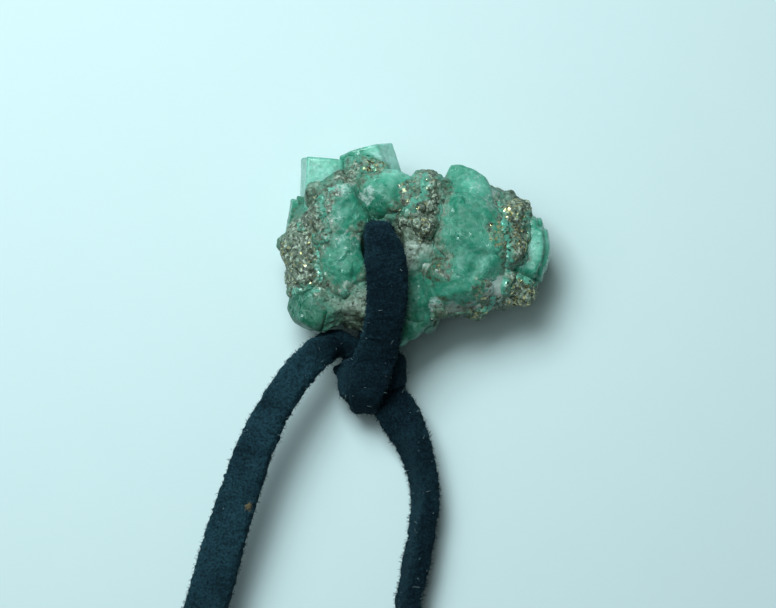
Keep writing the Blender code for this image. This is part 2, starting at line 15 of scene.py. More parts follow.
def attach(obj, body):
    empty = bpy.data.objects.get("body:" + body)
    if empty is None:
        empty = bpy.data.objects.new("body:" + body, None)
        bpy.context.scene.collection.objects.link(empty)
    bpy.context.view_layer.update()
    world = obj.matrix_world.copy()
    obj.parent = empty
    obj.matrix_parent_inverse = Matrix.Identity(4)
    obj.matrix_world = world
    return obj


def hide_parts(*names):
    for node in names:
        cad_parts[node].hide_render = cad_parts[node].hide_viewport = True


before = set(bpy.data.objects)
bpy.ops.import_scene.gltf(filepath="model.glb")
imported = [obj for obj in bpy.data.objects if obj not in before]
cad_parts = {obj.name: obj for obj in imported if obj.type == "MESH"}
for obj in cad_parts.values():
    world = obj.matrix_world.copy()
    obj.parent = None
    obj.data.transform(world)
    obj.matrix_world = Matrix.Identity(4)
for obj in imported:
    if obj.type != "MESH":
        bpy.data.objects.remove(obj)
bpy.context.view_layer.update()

MM = 0.001


# --- camera ---

IMAGE_WIDTH_MM = 59.7               # what the frame spans at the stone's middle height
CAMERA_DISTANCE = 300 * MM
CAMERA_ELEVATION = math.radians(80)
CAMERA_TARGET = Vector((-2.04, -4.61, 5.0)) * MM
SENSOR_MM = 36


def make_camera():
    camera = bpy.data.objects.new("camera", bpy.data.cameras.new("camera"))
    bpy.context.scene.collection.objects.link(camera)
    back = Vector((0, -math.cos(CAMERA_ELEVATION), math.sin(CAMERA_ELEVATION)))
    camera.location = CAMERA_TARGET + back * CAMERA_DISTANCE
    camera.rotation_euler = (-back).to_track_quat("-Z", "Y").to_euler()
    camera.data.lens = SENSOR_MM * CAMERA_DISTANCE / (IMAGE_WIDTH_MM * MM)
    camera.data.sensor_width = SENSOR_MM
    camera.data.clip_start = 0.01
    bpy.context.scene.camera = camera


# --- light and floor ---

DAYLIGHT = (0.79, 0.985, 1.0)       # the cool cast of the lamp
ROOM_LIGHT = 0.08                   # what comes from all round
FLOOR_HALF = 2.0                    # metres


def area_light(name, place, aim, size, watts, spread):
    data = bpy.data.lights.new(name, "AREA")
    data.energy = watts
    data.size = size
    data.spread = math.radians(spread)
    data.color = DAYLIGHT
    light = bpy.data.objects.new(name, data)
    light.location = place
    light.rotation_euler = (Vector(place) - Vector(aim)).to_track_quat("Z", "Y").to_euler()
    bpy.context.scene.collection.objects.link(light)


def make_light():
    area_light("key", place=(-0.057, 0.075, 0.19), aim=(-0.02, 0.02, 0), size=0.11,
               watts=0.138, spread=110)
    area_light("fill", place=(-0.12, 0.07, 0.33), aim=(0, 0, 0), size=0.36,
               watts=0.44, spread=180)
    world = bpy.data.worlds.new("studio")
    world.use_nodes = True
    background = world.node_tree.nodes["Background"]
    background.inputs["Color"].default_value = (*DAYLIGHT, 1)
    background.inputs["Strength"].default_value = ROOM_LIGHT
    bpy.context.scene.world = world
    bpy.context.scene.view_settings.view_transform = "Standard"


# --- materials ---

MIX_FACTOR, MIX_FIRST, MIX_SECOND, MIX_RESULT = 0, 6, 7, 2     # a colour Mix node's sockets

# pale calcite, and the white of painted glints
PALE_CALCITE_AND_GLINT = "#C2CFC2"
PYRITE_GOLD = "#D2C894"             # a clean face of pyrite that catches the light
STAIN_AND_SHADE_BROWN = "#4B4632"             # iron stain that pyrite leaves in the rock, and painted shade on the lower flank
BERYL_VEIL = "#9CCFBC"              # milky veils inside the beryl
BERYL_CRACK = "#B4DFD0"             # healed cracks
# bleached beryl, and the white of painted glints
BERYL_BLEACHED_AND_GLINT = "#CFE3DA"
BERYL_IN_ROCK = "#4C8F79"           # green grains strewn into the calcite
BERYL_IN_ORE = "#5FA891"            # and into the pyrite
SUEDE_BLOOM_AND_LIGHT = "#2B4B57"             # dusty where the nap stands up, and painted light on the lace's left side
SUEDE_BARE = "#7C6D52"              # leather where the nap is torn off
SUEDE_SHEEN = "#5FA3B8"


def linear(hex_colour):
    """An sRGB hex colour as linear RGBA."""
    parts = [int(hex_colour[i:i + 2], 16) / 255 for i in (1, 3, 5)]
    return [p / 12.92 if p <= 0.04045 else ((p + 0.055) / 1.055) ** 2.4 for p in parts] + [1.0]


def add(tree, kind, links=None, stops=None, **settings):
    """One node with its settings; links maps an input to a socket or a value, stops fill a ramp."""
    node = tree.nodes.new("ShaderNode" + kind)
    for key, value in settings.items():
        setattr(node, key, value)
    for key, value in (links or {}).items():
        if isinstance(value, bpy.types.NodeSocket):
            tree.links.new(value, node.inputs[key])
        else:
            node.inputs[key].default_value = value
    if stops:
        while len(node.color_ramp.elements) < len(stops):
            node.color_ramp.elements.new(1.0)
        for element, (position, colour) in zip(node.color_ramp.elements, stops):
            element.position = position
            element.color = linear(colour)
    return node


def new_material(name):
    made = bpy.data.materials.new(name)
    made.use_nodes = True
    return made, made.node_tree, made.node_tree.nodes["Principled BSDF"]


def finish_shader(tree, shader, links):
    for key, value in links.items():
        if isinstance(value, bpy.types.NodeSocket):
            tree.links.new(value, shader.inputs[key])
        else:
            shader.inputs[key].default_value = value


def per_mm(size):
    """A noise or cell scale, on Object coordinates in metres, for a grain of this many mm."""
    return 1.0 / (size * MM)


def leaning_cells(tree, place, base, size, share):
    """A normal that leans another way in a share of the crystal grains, so that those glint."""
    cell = add(tree, "TexVoronoi", {"Vector": place, "Scale": per_mm(size)})
    dice = add(tree, "SeparateColor", {"Color": cell.outputs["Color"]}).outputs[2]
    chosen = add(tree, "Math", {0: dice, 1: 1.0 - share}, operation="GREATER_THAN").outputs[0]
    lean = add(tree, "VectorMath", {0: cell.outputs["Color"], 1: (0.5, 0.5, 0.5)},
               operation="SUBTRACT")
    scaled = add(tree, "VectorMath", {0: lean.outputs[0], "Scale": chosen}, operation="SCALE")
    summed = add(tree, "VectorMath", {0: base, 1: scaled.outputs[0]}, operation="ADD")
    normal = add(tree, "VectorMath", {0: summed.outputs[0]}, operation="NORMALIZE").outputs[0]
    return normal, chosen


def speckled(tree, place, attribute, low, high):
    """A mask with a ragged edge, where a painted attribute and the stone's grain add up.

    It rises from nothing at low to whole at high; the grain alone is worth about 0.75.
    """
    grain = add(tree, "TexNoise", {"Vector": place, "Scale": per_mm(0.42), "Detail": 5.0,
                                   "Roughness": 0.72})
    painted_on = add(tree, "Attribute", attribute_name=attribute).outputs["Fac"]
    ragged = add(tree, "Math", {0: grain.outputs["Fac"], 1: 1.5, 2: painted_on},
                 operation="MULTIPLY_ADD").outputs[0]
    return add(tree, "MapRange", {"Value": ragged, "From Min": low, "From Max": high}).outputs[0]


def calcite_colour(tree, place):
    """Sugary calcite: grains from near white to a dirty olive grey, darkest where the noise runs low.
    """
    tone = add(tree, "TexNoise", {"Vector": place, "Scale": per_mm(1.3), "Detail": 6.0,
                                  "Roughness": 0.68, "Distortion": 0.5})
    grain = add(tree, "TexVoronoi", {"Vector": place, "Scale": per_mm(0.24)})
    dice = add(tree, "SeparateColor", {"Color": grain.outputs["Color"]}).outputs[0]
    spread = add(tree, "Math", {0: dice, 1: 0.20, 2: -0.10}, operation="MULTIPLY_ADD").outputs[0]
    level = add(tree, "Math", {0: tone.outputs["Fac"], 1: spread}, operation="ADD").outputs[0]
    shade = add(tree, "ValToRGB", {"Fac": level}, stops=(
        (0.30, "#323B2C"), (0.42, "#566552"), (0.54, "#778A77"), (0.66, "#9AAE9C"),
        (0.80, "#C8D6C9")))
    # pale calcite, and painted glints where the pale patches are
    pale = speckled(tree, place, "pale", low=1.15, high=1.45)
    return add(tree, "Mix", {MIX_FACTOR: pale, MIX_FIRST: shade.outputs[0],
                             MIX_SECOND: linear(PALE_CALCITE_AND_GLINT)}, data_type="RGBA").outputs[MIX_RESULT]


def ore_colour(tree, place):
    """Fine pyrite in calcite: each grain its own grey, olive or brass, like salt and pepper."""
    warp = add(tree, "TexNoise", {"Vector": place, "Scale": per_mm(0.5), "Detail": 3.0})
    bent = add(tree, "VectorMath", {0: warp.outputs["Color"], "Scale": 0.35 * MM},
               operation="SCALE")
    moved = add(tree, "VectorMath", {0: place, 1: bent.outputs[0]}, operation="ADD")
    grain = add(tree, "TexVoronoi", {"Vector": moved.outputs[0], "Scale": per_mm(0.18)})
    dice = add(tree, "SeparateColor", {"Color": grain.outputs["Color"]})
    drift = add(tree, "TexNoise", {"Vector": place, "Scale": per_mm(0.8), "Detail": 5.0,
                                   "Roughness": 0.7})
    level = add(tree, "Math", {0: dice.outputs[0], 1: 0.5, 2: drift.outputs["Fac"]},
                operation="MULTIPLY_ADD").outputs[0]
    tone = add(tree, "ValToRGB", {"Fac": level}, stops=(
        (0.40, "#20251B"), (0.56, "#3F463A"), (0.74, "#5E6959"), (0.92, "#83907F"),
        (1.00, "#BCC6B2")))
    return tone.outputs[0], dice.outputs[1]


def flashing_grains(tree, brass, threshold):
    """The few grains bright enough to flash, more of them where gold is painted."""
    gold = add(tree, "Attribute", attribute_name="gold").outputs["Fac"]
    bright = add(tree, "Math", {0: gold, 1: 0.30, 2: brass}, operation="MULTIPLY_ADD").outputs[0]
    return add(tree, "MapRange", {"Value": bright, "From Min": threshold,
                                  "From Max": threshold + 0.04}).outputs[0]


def ore_sown(tree, place, base):
    """Fine pyrite sown over another colour, and how metallic the result is."""
    ore, brass = ore_colour(tree, place)
    flashing = flashing_grains(tree, brass, threshold=0.96)
    flashed = add(tree, "Mix", {MIX_FACTOR: flashing, MIX_FIRST: ore,
                                MIX_SECOND: linear(PYRITE_GOLD)}, data_type="RGBA")
    is_ore = speckled(tree, place, "ore", low=1.16, high=1.36)
    sown = add(tree, "Mix", {MIX_FACTOR: is_ore, MIX_FIRST: base,
                             MIX_SECOND: flashed.outputs[MIX_RESULT]}, data_type="RGBA")
    metal = add(tree, "Math", {0: is_ore, 1: flashing}, operation="MULTIPLY").outputs[0]
    return sown.outputs[MIX_RESULT], metal


def emerald_material(name, milk, transmission, roughness):
    """Beryl as it grew: glassy but full of veils, so light goes in and comes back green and milky."""
    made, tree, shader = new_material(name)
    place = add(tree, "TexCoord").outputs["Object"]
    cloud = add(tree, "TexNoise", {"Vector": place, "Scale": per_mm(2.2), "Detail": 6.0,
                                   "Roughness": 0.6, "Distortion": 0.8})
    veil = add(tree, "TexNoise", {"Vector": place, "Scale": per_mm(1.0), "Detail": 8.0,
                                  "Roughness": 0.72, "Distortion": 1.3})
    depth = add(tree, "Attribute", attribute_name="depth").outputs["Fac"]
    level = add(tree, "Math", {0: cloud.outputs["Fac"], 1: 0.55, 2: depth},
                operation="MULTIPLY_ADD").outputs[0]
    body = add(tree, "ValToRGB", {"Fac": level}, stops=(
        (0.16, "#BFF5E6"), (0.34, "#92DBC6"), (0.52, "#63BFA3"), (0.70, "#3FA083"),
        (0.90, "#1F8669"), (1.00, "#0F6A4F")))
    milky = add(tree, "MapRange", {"Value": veil.outputs["Fac"], "From Min": 0.44,
                                   "From Max": 0.72, "To Max": milk}).outputs[0]
    veiled = add(tree, "Mix", {MIX_FACTOR: milky, MIX_FIRST: body.outputs[0],
                               MIX_SECOND: linear(BERYL_VEIL)}, data_type="RGBA")
    crazed = add(tree, "TexNoise", {"Vector": place, "Scale": per_mm(1.7), "Detail": 4.0,
                                    "Roughness": 0.55, "Distortion": 0.9})
    middle = add(tree, "Math", {0: crazed.outputs["Fac"], 1: 0.5}, operation="SUBTRACT").outputs[0]
    off = add(tree, "Math", {0: middle}, operation="ABSOLUTE").outputs[0]
    crack = add(tree, "MapRange", {"Value": off, "From Min": 0.0, "From Max": 0.016,
                                   "To Min": 0.42, "To Max": 0.0}).outputs[0]
    cracked = add(tree, "Mix", {MIX_FACTOR: crack, MIX_FIRST: veiled.outputs[MIX_RESULT],
                                MIX_SECOND: linear(BERYL_CRACK)}, data_type="RGBA")
    crumb = add(tree, "TexVoronoi", {"Vector": place, "Scale": per_mm(0.32)})
    dice = add(tree, "SeparateColor", {"Color": crumb.outputs["Color"]}).outputs[0]
    shade = add(tree, "MapRange", {"Value": dice, "To Min": 0.84, "To Max": 1.10}).outputs[0]
    grained = add(tree, "VectorMath", {0: cracked.outputs[MIX_RESULT], "Scale": shade},
                  operation="SCALE").outputs[0]
    # bleached beryl, and painted glints where the pale patches are
    pale = speckled(tree, place, "pale", low=1.22, high=1.46)
    bleached_and_glinting = add(tree, "Mix", {MIX_FACTOR: pale, MIX_FIRST: grained,
                                 MIX_SECOND: linear(BERYL_BLEACHED_AND_GLINT)}, data_type="RGBA")
    rocky = speckled(tree, place, "rocky", low=1.20, high=1.55)
    colour = add(tree, "Mix", {MIX_FACTOR: rocky, MIX_FIRST: bleached_and_glinting.outputs[MIX_RESULT],
                               MIX_SECOND: calcite_colour(tree, place)}, data_type="RGBA")
    # iron stain, and painted shade where the stain patches cover the lower flank
    stain_and_shade = speckled(tree, place, "stain_and_shade", low=1.30, high=1.62)
    stained_and_shaded = add(tree, "Mix", {MIX_FACTOR: stain_and_shade, MIX_FIRST: colour.outputs[MIX_RESULT],
                                MIX_SECOND: linear(STAIN_AND_SHADE_BROWN)}, data_type="RGBA")
    sown, metal = ore_sown(tree, place, stained_and_shaded.outputs[MIX_RESULT])
    grain = add(tree, "TexNoise", {"Vector": place, "Scale": per_mm(0.30), "Detail": 5.0,
                                   "Roughness": 0.65})
    bump = add(tree, "Bump", {"Height": grain.outputs["Fac"], "Distance": 0.08 * MM,
                              "Strength": 0.4})
    normal, glints = leaning_cells(tree, place, bump.outputs["Normal"], size=0.22, share=0.07)
    clear = add(tree, "MapRange", {"Value": rocky, "To Min": transmission, "To Max": 0.0})
    dull = add(tree, "MapRange", {"Value": glints, "To Min": roughness, "To Max": 0.15})
    finish_shader(tree, shader, {
        "Base Color": sown, "Metallic": metal, "Roughness": dull.outputs[0], "IOR": 1.575,
        "Specular IOR Level": 0.38, "Transmission Weight": clear.outputs[0],
        "Subsurface Weight": 0.45, "Subsurface Radius": (0.4, 1.0, 0.85),
        "Subsurface Scale": 0.9 * MM, "Normal": normal})
    return made


def rock_material():
    """Calcite rock, broken: sugary grains, stained brown and green, with fine pyrite through it; the
    brown is also painted shade on the lower flank.
    """
    made, tree, shader = new_material("calcite_rock_broken")
    place = add(tree, "TexCoord").outputs["Object"]
    green = speckled(tree, place, "green", low=1.05, high=1.55)
    tinted = add(tree, "Mix", {MIX_FACTOR: green, MIX_FIRST: calcite_colour(tree, place),
                               MIX_SECOND: linear(BERYL_IN_ROCK)}, data_type="RGBA")
    # iron stain, and painted shade where the stain patches cover the lower flank
    stain_and_shade = speckled(tree, place, "stain_and_shade", low=1.30, high=1.62)
    stained_and_shaded = add(tree, "Mix", {MIX_FACTOR: stain_and_shade, MIX_FIRST: tinted.outputs[MIX_RESULT],
                                MIX_SECOND: linear(STAIN_AND_SHADE_BROWN)}, data_type="RGBA")
    sown, metal = ore_sown(tree, place, stained_and_shaded.outputs[MIX_RESULT])
    fine = add(tree, "TexNoise", {"Vector": place, "Scale": per_mm(0.30), "Detail": 5.0,
                                  "Roughness": 0.7})
    bump = add(tree, "Bump", {"Height": fine.outputs["Fac"], "Distance": 0.12 * MM,
                              "Strength": 0.8})
    normal, glints = leaning_cells(tree, place, bump.outputs["Normal"], size=0.20, share=0.30)
    dull = add(tree, "MapRange", {"Value": glints, "To Min": 0.6, "To Max": 0.28}).outputs[0]
    finish_shader(tree, shader, {
        "Base Color": sown, "Metallic": metal, "Roughness": dull,
        "Normal": normal})
    return made


def pyrite_material():
    """Pyrite in small cubes: brassy faces that flash one at a time, tarnished dark between them."""
    made, tree, shader = new_material("pyrite_cubes_in_calcite")
    place = add(tree, "TexCoord").outputs["Object"]
    ore, brass = ore_colour(tree, place)
    patch = add(tree, "TexNoise", {"Vector": place, "Scale": per_mm(0.9), "Detail": 5.0,
                                   "Roughness": 0.7})
    stony = add(tree, "MapRange", {"Value": patch.outputs["Fac"], "From Min": 0.52,
                                   "From Max": 0.60, "To Max": 0.85}).outputs[0]
    colour = add(tree, "Mix", {MIX_FACTOR: stony, MIX_FIRST: ore,
                               MIX_SECOND: calcite_colour(tree, place)}, data_type="RGBA")
    flashing = flashing_grains(tree, brass, threshold=0.97)
    flashed = add(tree, "Mix", {MIX_FACTOR: flashing, MIX_FIRST: colour.outputs[MIX_RESULT],
                                MIX_SECOND: linear(PYRITE_GOLD)}, data_type="RGBA")
    green = speckled(tree, place, "green", low=1.20, high=1.50)
    tinted = add(tree, "Mix", {MIX_FACTOR: green, MIX_FIRST: flashed.outputs[MIX_RESULT],
                               MIX_SECOND: linear(BERYL_IN_ORE)}, data_type="RGBA")
    bump = add(tree, "Bump", {"Height": patch.outputs["Fac"], "Distance": 0.1 * MM,
                              "Strength": 0.6})
    normal, glints = leaning_cells(tree, place, bump.outputs["Normal"], size=0.21, share=0.50)
    dull = add(tree, "MapRange", {"Value": glints, "To Min": 0.55, "To Max": 0.24}).outputs[0]
    finish_shader(tree, shader, {
        "Base Color": tinted.outputs[MIX_RESULT], "Metallic": flashing,
        "Roughness": dull, "Normal": normal})
    return made


def suede_material():
    """Dyed split leather, napped: near black, with a bluish bloom where the nap stands up, and more
    of it on the lace's left side as painted light.
    """
    made, tree, shader = new_material("navy_suede_napped")
    place = add(tree, "TexCoord").outputs["Object"]
    nap = add(tree, "TexNoise", {"Vector": place, "Scale": per_mm(0.17), "Detail": 4.0,
                                 "Roughness": 0.7})
    wear = add(tree, "TexNoise", {"Vector": place, "Scale": per_mm(3.0), "Detail": 3.0})
    dark = add(tree, "ValToRGB", {"Fac": nap.outputs["Fac"]}, stops=(
        (0.32, "#060B11"), (0.50, "#0E1E28"), (0.72, "#223B47")))
    # painted light: the bloom grows stronger towards the lace's left side
    lit_left_side = add(tree, "Attribute", attribute_name="lit_left_side").outputs["Fac"]
    rubbed_and_lit = add(tree, "Math", {0: lit_left_side, 1: 0.28, 2: wear.outputs["Fac"]},
                 operation="MULTIPLY_ADD").outputs[0]
    worn_and_lit = add(tree, "MapRange", {"Value": rubbed_and_lit, "From Min": 0.5, "From Max": 0.85}).outputs[0]
    raised = add(tree, "MapRange", {"Value": nap.outputs["Fac"], "From Min": 0.30,
                                    "From Max": 0.62}).outputs[0]
    bloom_and_light = add(tree, "Math", {0: worn_and_lit, 1: raised}, operation="MULTIPLY").outputs[0]
    dusty_and_lit = add(tree, "Mix", {MIX_FACTOR: bloom_and_light, MIX_FIRST: dark.outputs[0],
                              MIX_SECOND: linear(SUEDE_BLOOM_AND_LIGHT)}, data_type="RGBA")
    scuff = add(tree, "Attribute", attribute_name="scuff").outputs["Fac"]
    torn = add(tree, "Math", {0: scuff, 1: nap.outputs["Fac"]}, operation="ADD").outputs[0]
    bare = add(tree, "MapRange", {"Value": torn, "From Min": 1.15, "From Max": 1.35}).outputs[0]
    colour = add(tree, "Mix", {MIX_FACTOR: bare, MIX_FIRST: dusty_and_lit.outputs[MIX_RESULT],
                               MIX_SECOND: linear(SUEDE_BARE)}, data_type="RGBA")
    bump = add(tree, "Bump", {"Height": nap.outputs["Fac"], "Distance": 0.16 * MM,
                              "Strength": 1.0})
    finish_shader(tree, shader, {
        "Base Color": colour.outputs[MIX_RESULT], "Roughness": 0.95, "Specular IOR Level": 0.10,
        "Sheen Weight": 0.16, "Sheen Roughness": 0.5, "Sheen Tint": linear(SUEDE_SHEEN),
        "Normal": bump.outputs["Normal"]})
    return made


def plain_material(name, shades, roughness, grain_mm):
    """A matt stuff of two close shades: paper, lint or waxed thread."""
    made, tree, shader = new_material(name)
    place = add(tree, "TexCoord").outputs["Object"]
    grain = add(tree, "TexNoise", {"Vector": place, "Scale": per_mm(grain_mm), "Detail": 3.0})
    shade = add(tree, "Mix", {MIX_FACTOR: grain.outputs["Fac"],
                              MIX_FIRST: linear(shades[0]),
                              MIX_SECOND: linear(shades[1])}, data_type="RGBA")
    finish_shader(tree, shader, {"Base Color": shade.outputs[MIX_RESULT], "Roughness": roughness})
    return made


# --- sculpting ---

def shown(name, mesh):
    made = bpy.data.objects.new(name, mesh)
    bpy.context.scene.collection.objects.link(made)
    return made


WELD = 1e-6                         # points closer than this, in metres, are one


def copy_of(node, name):
    """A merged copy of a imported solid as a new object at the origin."""
    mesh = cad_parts[node].data.copy()
    mesh.name = name
    mesh.materials.clear()
    bm = bmesh.new()
    bm.from_mesh(mesh)
    bmesh.ops.remove_doubles(bm, verts=bm.verts, dist=WELD)
    bm.to_mesh(mesh)
    bm.free()
    return shown(name, mesh)


def remeshed(piece, voxel_mm, smoothing):
    remesh = piece.modifiers.new("remesh", "REMESH")
    remesh.mode = "VOXEL"
    remesh.voxel_size = voxel_mm * MM
    smooth = piece.modifiers.new("smooth", "SMOOTH")
    smooth.factor = 0.5
    smooth.iterations = smoothing
    evaluated = piece.evaluated_get(bpy.context.evaluated_depsgraph_get())
    mesh = bpy.data.meshes.new_from_object(evaluated)
    piece.modifiers.clear()
    piece.data = mesh


CELL_BORDER = 0.22                  # how far into a cell its border slopes, as a share of its size
CELL_TILT = 1.6                     # how steeply the planes of the broken grains lean
CELL_STEP = 0.8                     # and how much higher one stands than the next
LEAN_SCATTER = 9.7                  # makes neighbouring cells lean in unlike ways
SEED_SHIFT = Vector((7.31, 3.17, 5.71))     # where in the noise each seed looks
ROUGH_FRACTAL = (0.8, 2.0, 4)       # fall, growth and count of the octaves of roughness


def facet(point, size, seed):
    """Height of broken-grain relief: each cell of this size is a plane leaning its own way."""
    spot = point / (size * MM) + SEED_SHIFT * seed
    distances, centres = noise.voronoi(spot)
    heights = []
    for centre in centres[:2]:
        lean = noise.cell_vector(centre * LEAN_SCATTER) - Vector((0.5, 0.5, 0.5))
        heights.append((spot - centre).dot(lean) * CELL_TILT + lean.z * CELL_STEP)
    inside = min(1.0, (distances[1] - distances[0]) / CELL_BORDER)
    return heights[0] * (0.5 + 0.5 * inside) + heights[1] * (0.5 - 0.5 * inside)


def surface_rise(point, layers, seed=1):
    """Height in mm of a sum of layers of (kind, size mm, height mm)."""
    rise = 0.0
    for kind, size, height in layers:
        if kind == "facet":
            rise += facet(point, size, seed) * height
        else:
            rise += noise.fractal(point / (size * MM), *ROUGH_FRACTAL) * height
    return rise


def roughen(piece, layers, swell):
    """Moves each point along its own normal, by the layers and a swelling in mm."""
    mesh = piece.data
    normals = [vertex.normal.copy() for vertex in mesh.vertices]
    for vertex, normal in zip(mesh.vertices, normals):
        vertex.co += normal * ((surface_rise(vertex.co, layers) + swell) * MM)
        vertex.co.z = max(vertex.co.z, 0.0)
    mesh.update()


def painted(piece, attribute, value_at):
    layer = piece.data.attributes.new(attribute, "FLOAT", "POINT")
    layer.data.foreach_set("value", [value_at(vertex.co) for vertex in piece.data.vertices])


def shaded(piece, sharp):
    """Smooth shading, but for the edges sharper than this angle."""
    piece.data.shade_smooth()
    piece.data.set_sharp_from_angle(angle=sharp)


def placed(piece, material, slot, *nodes):
    piece.data.materials.clear()
    piece.data.materials.append(material)
    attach(piece, "root")
    if nodes:
        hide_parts(*nodes)


# --- the lace ---

LACE_WIDTH = 3.2
LACE_THICKNESS = 1.6
LACE_LENGTH_M = 0.35                # each half, from the middle of the drilled hole
SECTION_POINTS = 40
COIL_CENTRE = (-8.0, -53.0)
COIL_OUTER = 22.0                   # radius of the outermost turn's middle
COIL_PITCH = 3.5                    # two halves side by side in each turn
COIL_LAG = 1.4                      # how much further in the back half begins
COIL_LEVEL = 2.05
TURN_STEPS = 40                     # points in each turn of the coil
NEAR_SPACING = 0.15                 # between the lace's rings by the stone, and in the coil
COIL_SPACING = 0.45
NEAR_ENDS = -33.0                   # how far down Y the finely made part of the lace goes
FLAT = math.pi / 2                  # turn of a lace on its broad side; 0 stands it on edge
ALONG_X = Vector((1, 0, 0))         # the broad side's way at a fold, where the lace runs up or down
ALONG_Y = Vector((0, 1, 0))
ALONG_Z = Vector((0, 0, 1))
SORTED_ALONG = Vector((0.31, 0.83, 0.47))       # a slant on which no two points are level
SCUFF = Vector((-12.6, -20.4, 5.7))     # a bare tan spot on the left leg
SCUFF_RADIUS = 1.2
CURVE_STEPS = 24                    # fine steps between two rows of a route
SIDE_FULLNESS = 0.55                # lower is squarer: how full the section's round edges are
FACE_FULLNESS = 0.62
JOIN_ANGLE = math.radians(14)       # of the outermost turn, spent on the way in from the route
SUEDE_LAYERS = (("rough", 0.34, 0.15), ("rough", 1.5, 0.07))
SUEDE_SWELL = -0.05                 # the nap stands out by about as much as the skin lies deeper
FIBRE_JITTER = 0.12                 # how far a fibre may stand from its face's middle
FIBRE_ROOT = 0.04                   # how deep it is rooted
FIBRE_CLEARANCE = 0.1               # and how high its tip stays over the floor
LIT_SIDE_EDGE, LIT_SIDE_RUN = -5.5, 3.0     # along X, where the painted light on the lace's left side begins, and how soon it is whole
HOLE_EDGE, HOLE_LIP = -1.5, 8.5     # the lace past this Y and below this level is in the hole

FRONT_ROUTE = [
    (-2.59, -1.53, 6.0, ALONG_X, 2.8),
    (-2.5, -0.28, 8.1, ALONG_X, 2.4),
    (-2.65, 0.15, 9.0, ALONG_X, 2.1),
    (-2.8, 0.15, 9.8, ALONG_X, 2.0),
    (-2.7, -0.35, 10.35, ALONG_X, 2.4),
    (-2.36, -1.4, 10.35, ALONG_X, 3.0),
    (-2.14, -3.0, 9.85, ALONG_X, 3.2),
    (-2.14, -4.9, 8.9, ALONG_X, 3.15),
    (-2.38, -6.8, 7.6, ALONG_X, 3.0),
    (-2.98, -8.8, 5.8, ALONG_X, 3.25),
    (-3.5, -10.4, 5.15, ALONG_X, 3.0),
    (-3.75, -11.5, 4.2, ALONG_X, 2.6),
    (-3.8, -12.0, 3.0, ALONG_X, 2.2),
    (-4.0, -11.7, 1.7, ALONG_X, 2.2),
    (-4.1, -10.8, 1.1, ALONG_X, 2.6),
    (-3.6, -9.9, 1.1, ALONG_X + ALONG_Y, 3.0),
    (-2.4, -9.55, 1.3, ALONG_Y, 3.0),
    (-1.35, -9.4, 2.2, ALONG_Y, 2.8),
    (-2.2, -9.5, 3.3, ALONG_Y, 3.1),
    (-3.6, -9.8, 3.6, ALONG_Y, 3.2),
    (-4.8, -10.15, 3.3, ALONG_Y, 3.2),
    (-5.1, -10.1, 2.4, ALONG_Y, 3.0),
    (-4.7, -9.2, 2.0, FLAT - 1.2, 2.8),
    (-4.6, -8.2, 2.3, FLAT - 1.3, 2.6),
    (-5.2, -7.62, 2.75, FLAT - 1.3, 2.6),
    (-5.75, -7.5, 3.15, FLAT - 1.2, 2.5),
    (-6.4, -7.6, 3.6, FLAT - 1.0, 2.5),
    (-7.6, -8.55, 4.6, FLAT - 0.5, 2.5),
    (-9.2, -10.35, 5.2, FLAT - 0.2, 2.55),
    (-10.7, -12.75, 5.3, FLAT, 2.65),
    (-12.1, -15.6, 5.2, FLAT, 2.8),
    (-13.1, -18.4, 5.0, FLAT, 3.0),
    (-14.2, -21.8, 4.7, FLAT, 3.15),
    (-15.1, -24.9, 4.3, FLAT, 3.3),
    (-15.9, -27.8, 3.8, FLAT, 3.3),
    (-16.8, -29.8, 3.2, FLAT, 3.3),
    (-18.0, -31.4, 2.6, FLAT - 0.5, 3.2),
]
BACK_ROUTE = [
    (-2.61, -2.0, 5.1, ALONG_X, 3.0),
    (-2.74, -3.5, 2.7, ALONG_X, 3.2),
    (-2.85, -4.8, 1.35, ALONG_X, 3.2),
    (-2.8, -6.3, 1.1, ALONG_X, 3.2),
    (-2.7, -8.3, 1.6, ALONG_X, 3.0),
    (-2.55, -9.9, 1.9, ALONG_X, 2.8),
    (-2.15, -11.3, 2.1, FLAT, 2.9),
    (-1.45, -12.4, 2.2, FLAT + 0.1, 3.2),
    (-0.95, -13.28, 2.2, FLAT + 0.35, 3.2),
    (-0.6, -13.95, 2.1, FLAT + 0.55, 3.1),
    (0.0, -15.3, 1.85, FLAT + 0.9, 3.1),
    (0.6, -17.3, 1.75, FLAT + 1.1, 3.1),
    (0.8, -19.4, 1.7, FLAT + 1.15, 3.1),
    (0.55, -21.8, 1.7, FLAT + 1.2, 3.1),
    (0.1, -24.4, 1.7, FLAT + 1.2, 3.1),
    (-0.5, -27.0, 1.7, FLAT + 1.25, 3.1),
    (-1.5, -29.2, 1.8, FLAT + 1.3, 3.2),
]


def smooth_curve(points, spacing):
    """Rows every spacing on a smooth curve (Catmull-Rom) through rows of place and broad side."""
    ends = [2 * points[0] - points[1]] + points + [2 * points[-1] - points[-2]]
    fine = []
    for index in range(len(points) - 1):
        before, start, stop, after = ends[index:index + 4]
        for step in range(CURVE_STEPS):
            t = step / CURVE_STEPS
            fine.append(0.5 * (2 * start + (stop - before) * t
                               + (2 * before - 5 * start + 4 * stop - after) * t ** 2
                               + (3 * start - before - 3 * stop + after) * t ** 3))
    fine.append(points[-1].copy())
    runs = [0.0]
    for first, second in zip(fine, fine[1:]):
        runs.append(runs[-1] + Vector((second - first)[:3]).length)
    count = max(2, round(runs[-1] / spacing))
    even = []
    index = 0
    for step in range(count + 1):
        target = runs[-1] * step / count
        while index < len(runs) - 2 and runs[index + 1] < target:
            index += 1
        span = runs[index + 1] - runs[index] or 1.0
        even.append(fine[index].lerp(fine[index + 1], (target - runs[index]) / span))
    return even


def broad_side(turn, tangent):
    """The way a lace's broad side faces across: given outright, or leaned over from level."""
    if isinstance(turn, Vector):
        return turn.normalized()
    level = Vector((0, 0, 1)).cross(tangent).normalized()
    return Matrix.Rotation(turn - FLAT, 3, tangent) @ level


